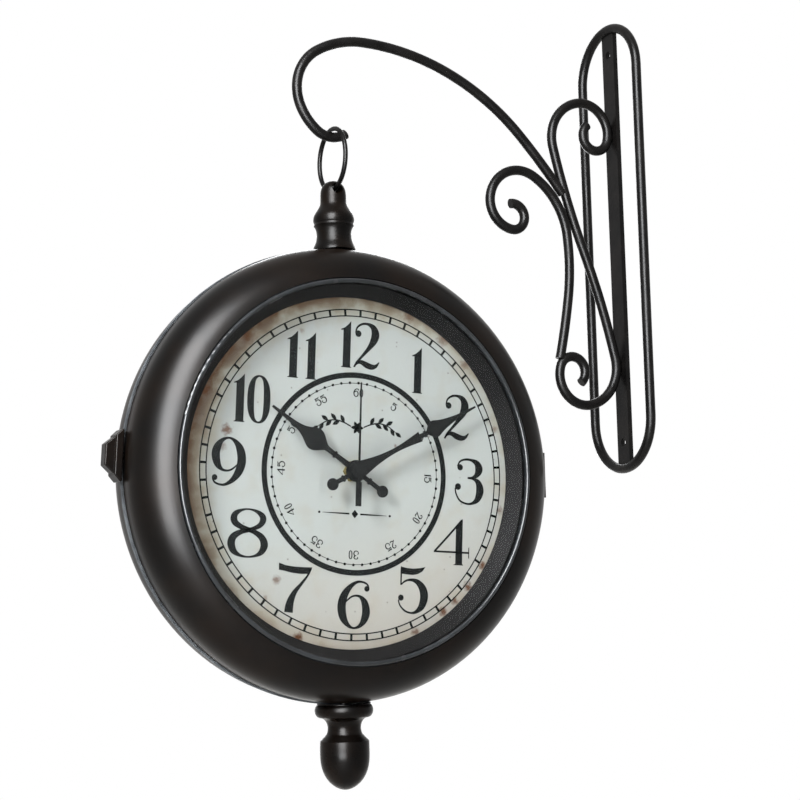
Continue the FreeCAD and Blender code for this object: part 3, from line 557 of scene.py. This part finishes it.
def ribbon(points, steps=8):
    """Pen stroke as a strip of quads: corners and faces, in the units of the points."""
    closed = points[0] == points[-1]
    curve = smooth(points, closed, steps)
    if closed:
        curve.pop()
    count = len(curve)
    corners = []
    for index, (x, y, pen) in enumerate(curve):
        ahead = curve[(index + 1) % count] if closed else curve[min(index + 1, count - 1)]
        behind = curve[index - 1] if closed or index else curve[0]
        along = Vector((ahead[0] - behind[0], ahead[1] - behind[1])).normalized()
        corners.append((x - along.y * pen / 2, y + along.x * pen / 2))
        corners.append((x + along.y * pen / 2, y - along.x * pen / 2))
    links = count if closed else count - 1
    faces = [(2 * i, 2 * i + 1, (2 * i + 3) % (2 * count), (2 * i + 2) % (2 * count)) for i in range(links)]
    return corners, faces


def plate(outline):
    """Flat outline as one face."""
    return list(outline), [tuple(range(len(outline)))]


def disc(x, y, radius, count=24):
    """Round spot."""
    turns = [2 * math.pi * i / count for i in range(count)]
    return plate([(x + radius * math.cos(t), y + radius * math.sin(t)) for t in turns])


def annulus(outer, width, count=240):
    """Flat ring round the middle."""
    middle = outer - width / 2
    turns = [2 * math.pi * i / count for i in range(count + 1)]
    points = [(middle * math.cos(t), middle * math.sin(t), width) for t in turns[:-1]]
    return ribbon(points + points[:1], 1)


def figure_shapes(text, height, least=None):
    """Flat shapes of a numeral, its middle at the origin; a least pen width makes its strokes light."""
    gap = PAIR_GAPS.get(text, FIGURE_GAP)
    total = sum(GLYPHS[digit]["width"] for digit in text) + gap * (len(text) - 1)
    scale = height / 100
    start = -total / 2
    shapes = []
    for digit in text:
        glyph = GLYPHS[digit]
        strokes = glyph["strokes"]
        if least is not None:
            strokes = [[(x, y, least / scale + LIGHT_PEN * pen) for x, y, pen in stroke]
                       for stroke in strokes]
        flat = [ribbon(stroke) for stroke in strokes]
        flat += [disc(x, y, radius) for x, y, radius in glyph["balls"]]
        flat += [plate(outline) for outline in glyph["plates"]]
        for corners, faces in flat:
            shapes.append(([((x + start) * scale, (y - 50) * scale) for x, y in corners], faces))
        start += glyph["width"] + gap
    return shapes


def moved(shapes, x, y, turn=0.0):
    """The same shapes, turned clockwise about the origin and then moved."""
    c, s = math.cos(turn), math.sin(turn)
    return [([(a * c + b * s + x, b * c - a * s + y) for a, b in corners], faces)
            for corners, faces in shapes]


def leaf(x, y, turn, long, wide):
    """Pointed leaf that starts at a place and points along a turn from upright."""
    half = [(0, 0), (0.32, 0.25), (0.5, 0.5), (0.36, 0.75), (0, 1)]
    outline = smooth([(a * wide, b * long) for a, b in half], False, 4)
    outline += [(-a, b) for a, b in reversed(outline[1:-1])]
    return moved([plate(outline)], x, y, turn)


def sprig_shapes():
    """Ornament above the hub: two sprigs with paired leaves that rise from a small rosette."""
    shapes = [disc(0, ROSETTE_UP * MM, 1.5 * MM)]
    for petal in range(ROSETTE_PETALS):
        turn = (petal + 0.5) * 2 * math.pi / ROSETTE_PETALS
        shapes += leaf(0, ROSETTE_UP * MM, turn, 4.0 * MM, 2.0 * MM)
    for hand in (-1, 1):
        shapes.append(ribbon([(hand * x * MM, y * MM, pen * MM) for x, y, pen in STEM]))
        for x, y, turn, long, wide in LEAVES:
            shapes += leaf(hand * x * MM, y * MM, hand * math.radians(turn), long * MM, wide * MM)
    return shapes


def divider_shapes():
    """Ornament below the hub: a lozenge between two tapering lines that end in a dot."""
    shapes = [plate([(x * MM, y * MM) for x, y in LOZENGE])]
    dot_x, dot_y, dot_radius = DIVIDER_DOT
    for hand in (-1, 1):
        shapes.append(ribbon([(hand * x * MM, y * MM, pen * MM) for x, y, pen in DIVIDER]))
        shapes.append(disc(hand * dot_x * MM, dot_y * MM, dot_radius * MM))
    return shapes


def slabs(shapes, thick):
    """Closed thin pieces from flat shapes, in one bmesh."""
    whole = bmesh.new()
    for corners, faces in shapes:
        verts = [whole.verts.new((x, y, 0)) for x, y in corners]
        flat = [whole.faces.new([verts[i] for i in face]) for face in faces]
        raised = bmesh.ops.extrude_face_region(whole, geom=flat, use_keep_orig=True)["geom"]
        bmesh.ops.translate(whole, vec=(0, 0, thick),
                            verts=[part for part in raised if isinstance(part, bmesh.types.BMVert)])
    bmesh.ops.triangulate(whole, faces=[face for face in whole.faces if len(face.verts) > 4])
    bmesh.ops.recalc_face_normals(whole, faces=whole.faces)
    return whole


# Inputs of the ring of marks
MARK_INPUTS = {
    "Count": "NodeSocketInt",
    "Radius": "NodeSocketFloat",
    "Width": "NodeSocketFloat",
    "Length": "NodeSocketFloat",
    "Thickness": "NodeSocketFloat",
    "Round": "NodeSocketBool",
    "Turn": "NodeSocketRotation",
    "Material": "NodeSocketMaterial",
}


def marks_tree():
    """Geometry Nodes: flat marks spread evenly round a circle and turned to point outwards."""
    tree = bpy.data.node_groups.new("ring_of_marks", "GeometryNodeTree")
    for name, kind in MARK_INPUTS.items():
        tree.interface.new_socket(name=name, in_out="INPUT", socket_type=kind)
    tree.interface.new_socket(name="Marks", in_out="OUTPUT", socket_type="NodeSocketGeometry")
    given = add_node(tree, "NodeGroupInput").outputs
    circle = add_node(tree, "GeometryNodeMeshCircle",
                      links=[("Vertices", given["Count"]), ("Radius", given["Radius"])])
    size = add_node(tree, "ShaderNodeCombineXYZ",
                    links=[("X", given["Width"]), ("Y", given["Length"]), ("Z", given["Thickness"])])
    bar = add_node(tree, "GeometryNodeMeshCube", links=[("Size", size.outputs["Vector"])])
    half = add_node(tree, "ShaderNodeMath", [("operation", "MULTIPLY"), (1, 0.5)], [(0, given["Width"])])
    spot = add_node(tree, "GeometryNodeMeshCylinder", [("Vertices", 16)],
                    [("Radius", half.outputs["Value"]), ("Depth", given["Thickness"])])
    mark = add_node(tree, "GeometryNodeSwitch", [("input_type", "GEOMETRY")],
                    [("Switch", given["Round"]), ("False", bar.outputs["Mesh"]),
                     ("True", spot.outputs["Mesh"])])
    place = add_node(tree, "GeometryNodeInputPosition")
    outwards = add_node(tree, "FunctionNodeAlignRotationToVector", [("axis", "Y"), ("pivot_axis", "Z")],
                        [("Vector", place.outputs["Position"])])
    spread = add_node(tree, "GeometryNodeInstanceOnPoints",
                      links=[("Points", circle.outputs["Mesh"]), ("Instance", mark.outputs["Output"]),
                             ("Rotation", outwards.outputs["Rotation"])])
    solid = add_node(tree, "GeometryNodeRealizeInstances", links=[("Geometry", spread.outputs["Instances"])])
    turned = add_node(tree, "GeometryNodeTransform",
                      links=[("Geometry", solid.outputs["Geometry"]), ("Rotation", given["Turn"])])
    inked = add_node(tree, "GeometryNodeSetMaterial",
                     links=[("Geometry", turned.outputs["Geometry"]), ("Material", given["Material"])])
    add_node(tree, "NodeGroupOutput", links=[("Marks", inked.outputs["Geometry"])])
    return tree


def marks_mesh(tree, values):
    """Mesh of one ring of marks: values are given by the names of the tree's inputs."""
    holder = bpy.data.objects.new("marks_holder", bpy.data.meshes.new("marks_holder"))
    bpy.context.scene.collection.objects.link(holder)
    modifier = holder.modifiers.new("marks", "NODES")
    modifier.node_group = tree
    for item in tree.interface.items_tree:
        if item.in_out == "INPUT":
            modifier[item.identifier] = values[item.name]
    drawn = holder.evaluated_get(bpy.context.evaluated_depsgraph_get())
    mesh = bpy.data.meshes.new_from_object(drawn)
    bpy.data.objects.remove(holder)
    return mesh


def print_piece(face, ink, settings):
    """All the print of one dial as one mesh of closed thin shapes that rides with the dial."""
    thick = settings.print_thick
    rings = ((settings.track_outer, settings.track_line), (settings.track_inner, settings.track_line),
             (settings.ring_outer, settings.ring_width), (settings.dot_circle, settings.dot_line))
    shapes = [annulus(outer, width) for outer, width in rings]
    for hour in range(1, 13):
        turn = hour * math.pi / 6
        across, up = math.sin(turn), math.cos(turn)
        right, higher = NUDGES.get(hour, (0, 0))
        numeral = figure_shapes(str(hour), settings.numeral_height)
        shapes += moved(numeral, settings.numeral_circle * across + right * MM,
                        settings.numeral_circle * up + higher * MM)
        small = figure_shapes(str(hour * 5), settings.small_height, settings.small_pen)
        shapes += moved(small, settings.small_circle * across, settings.small_circle * up, turn)
    shapes += sprig_shapes() + divider_shapes()
    whole = slabs(shapes, thick)
    tree = marks_tree()
    shared = {"Count": MINUTES, "Thickness": thick, "Turn": (0, 0, math.pi / 2), "Material": ink}
    ticks = {"Radius": (settings.track_outer + settings.track_inner) / 2, "Width": settings.tick_width,
             "Length": settings.track_outer - settings.track_inner, "Round": False}
    dots = {"Radius": settings.dot_circle, "Width": settings.dot_size, "Length": settings.dot_size,
            "Round": True}
    for values in (ticks, dots):
        marks = marks_mesh(tree, {**shared, **values})
        marks.transform(Matrix.Translation((0, 0, thick / 2)))
        whole.from_mesh(marks)
    side = FACES[face]["side"]
    turned = Matrix.Rotation(-settings.print_turn, 4, "Z")
    offset = Matrix.Translation((settings.print_right, settings.print_up, 0))
    onto = Matrix(((-side, 0, 0, AXIS.x), (0, 0, side, FACES[face]["plane"] + side * INK_LIFT * MM),
                   (0, 1, 0, AXIS.z), (0, 0, 0, 1)))
    whole.transform(onto @ offset @ turned)
    bmesh.ops.recalc_face_normals(whole, faces=whole.faces)
    mesh = bpy.data.meshes.new(face + "_dial_print")
    whole.to_mesh(mesh)
    whole.free()
    mesh.materials.clear()
    mesh.materials.append(ink)
    piece = bpy.data.objects.new(face + "_dial_print", mesh)
    bpy.context.scene.collection.objects.link(piece)
    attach(piece, FACES[face]["body"])


class CLOCK_OT_finishes(bpy.types.Operator):
    """Give every construction piece the finish of its material"""
    bl_idname = "clock.finishes"
    bl_label = "Finishes"

    def execute(self, context):
        finish = context.scene.clock_finish
        turned = turned_enamel(finish)
        bead = bead_enamel(finish)
        own = {
            "front_dial": aged_dial(finish, "front"),
            "rear_dial": aged_dial(finish, "rear"),
            "front_bezel": bead,
            "rear_bezel": bead,
            "case_band": rubbed_rib(finish),
            "top_finial": turned,
            "bottom_finial": turned,
            "side_knob": turned,
        }
        by_slot = {
            "black_iron": forged_iron(finish),
            "bronze_enamel": brown_enamel(finish),
            "bezel_enamel": cone_enamel(finish),
            "clear_glass": window_glass(),
            "hand_black": hand_paint(finish),
        }
        by_slot.update({slot: works_finish(slot) for slot in WORKS_FINISHES})
        for part in frame["record"]["subparts"]:
            node = part["node"]
            dress(node, own[node] if node in own else by_slot[part["material_slot"]])
        return {"FINISHED"}


class CLOCK_OT_dial_prints(bpy.types.Operator):
    """Print the track, numerals, figures and ornaments on both dials"""
    bl_idname = "clock.dial_prints"
    bl_label = "Dial prints"

    def execute(self, context):
        ink = dial_ink(context.scene.clock_finish)
        for face in FACES:
            print_piece(face, ink, context.scene.clock_dial)
        return {"FINISHED"}


def area_light(name, offset, sides, power, tone, gloss, matt):
    """Soft box that looks at the clock's middle, in the gloss or not and in the matt light or not."""
    light = bpy.data.lights.new(name, "AREA")
    light.shape = "RECTANGLE"
    light.size, light.size_y = sides
    light.energy = power
    light.color = tone
    lamp = bpy.data.objects.new(name, light)
    lamp.location = AXIS + Vector(offset)
    lamp.rotation_euler = (AXIS - lamp.location).to_track_quat("-Z", "Y").to_euler()
    lamp.visible_camera = False
    lamp.visible_glossy = gloss
    lamp.visible_diffuse = matt
    bpy.context.scene.collection.objects.link(lamp)


class CLOCK_OT_stage(bpy.types.Operator):
    """Set the camera, the white surroundings, the floor and the lights"""
    bl_idname = "clock.stage"
    bl_label = "Stage"

    def execute(self, context):
        scene = context.scene
        settings = scene.clock_stage
        turn, rise, tilt = settings.azimuth, settings.elevation, settings.roll
        back = Vector((math.sin(turn) * math.cos(rise), -math.cos(turn) * math.cos(rise), math.sin(rise)))
        level = Vector((math.cos(turn), math.sin(turn), 0))
        upright = back.cross(level)
        right = level * math.cos(tilt) + upright * math.sin(tilt)
        up = upright * math.cos(tilt) - level * math.sin(tilt)
        half = PICTURE_SIZE / 2
        pixel = settings.distance * SENSOR_WIDTH / (settings.lens * PICTURE_SIZE)
        seen = right * (CLOCK_PIXEL[0] - half) * pixel + up * (half - CLOCK_PIXEL[1]) * pixel
        seen -= back * settings.distance
        camera = bpy.data.cameras.new("camera")
        camera.sensor_width = SENSOR_WIDTH
        camera.lens = settings.lens
        camera.clip_start = 0.01
        eye = bpy.data.objects.new("camera", camera)
        eye.matrix_world = Matrix.Translation(AXIS - seen) @ Matrix((right, up, back)).transposed().to_4x4()
        scene.collection.objects.link(eye)
        scene.camera = eye
        scene.view_settings.view_transform = "Standard"

        # White to the camera, in gloss and through glass, dim to the matt light
        world = bpy.data.worlds.new("white_room")
        scene.world = world
        world.use_nodes = True
        tree = world.node_tree
        path = add_node(tree, "ShaderNodeLightPath")
        shown = add_node(tree, "ShaderNodeMath", [("operation", "MAXIMUM")],
                         [(0, path.outputs["Is Camera Ray"]), (1, path.outputs["Is Glossy Ray"])])
        shown = add_node(tree, "ShaderNodeMath", [("operation", "MAXIMUM")],
                         [(0, shown.outputs["Value"]), (1, path.outputs["Is Transmission Ray"])])
        strength = add_node(tree, "ShaderNodeMapRange", [("To Min", ROOM_MATT), ("To Max", ROOM_SEEN)],
                            [("Value", shown.outputs["Value"])])
        ground = tree.nodes["Background"]
        ground.inputs["Color"].default_value = (1, 1, 1, 1)
        tree.links.new(strength.outputs["Result"], ground.inputs["Strength"])

        # Pale floor below the clock
        floor_mesh = bpy.data.meshes.new("floor")
        shape = bmesh.new()
        bmesh.ops.create_circle(shape, cap_ends=True, segments=96, radius=FLOOR_RADIUS)
        shape.to_mesh(floor_mesh)
        shape.free()
        floor_mesh.transform(Matrix.Translation((AXIS.x, 0, -settings.floor_drop)))
        material, tree, shader, place = new_material("pale_floor")
        two_tone(tree, place, shader, linear("#F2F2F0"), linear("#ECECEA"), 300)
        shader.inputs["Roughness"].default_value = 0.8
        floor_mesh.materials.append(material)
        floor = bpy.data.objects.new("floor", floor_mesh)
        scene.collection.objects.link(floor)

        for lamp in LAMPS:
            area_light(*lamp)
        return {"FINISHED"}


class CLOCK_PT_panel(bpy.types.Panel):
    """Sidebar list of the steps that build the clock's looks"""
    bl_label = "Clock"
    bl_idname = "CLOCK_PT_panel"
    bl_space_type = "VIEW_3D"
    bl_region_type = "UI"
    bl_category = "Clock"

    def draw(self, context):
        for step in STEPS:
            self.layout.operator(step.bl_idname)
        for name in SETTINGS:
            group = getattr(context.scene, name)
            box = self.layout.box()
            for entry in group.__annotations__:
                box.prop(group, entry)


STEPS = (CLOCK_OT_finishes, CLOCK_OT_dial_prints, CLOCK_OT_stage)
SETTINGS = {
    "clock_dial": ClockDialSettings,
    "clock_finish": ClockFinishSettings,
    "clock_stage": ClockStageSettings,
}


def register():
    for kind in (*SETTINGS.values(), *STEPS, CLOCK_PT_panel):
        bpy.utils.register_class(kind)
    for name, kind in SETTINGS.items():
        setattr(bpy.types.Scene, name, bpy.props.PointerProperty(type=kind))


def unregister():
    for name in SETTINGS:
        delattr(bpy.types.Scene, name)
    for kind in reversed((*SETTINGS.values(), *STEPS, CLOCK_PT_panel)):
        bpy.utils.unregister_class(kind)


def main():
    register()
    bpy.ops.clock.finishes()
    bpy.ops.clock.dial_prints()
    bpy.ops.clock.stage()


if __name__ == "__main__":
    main()
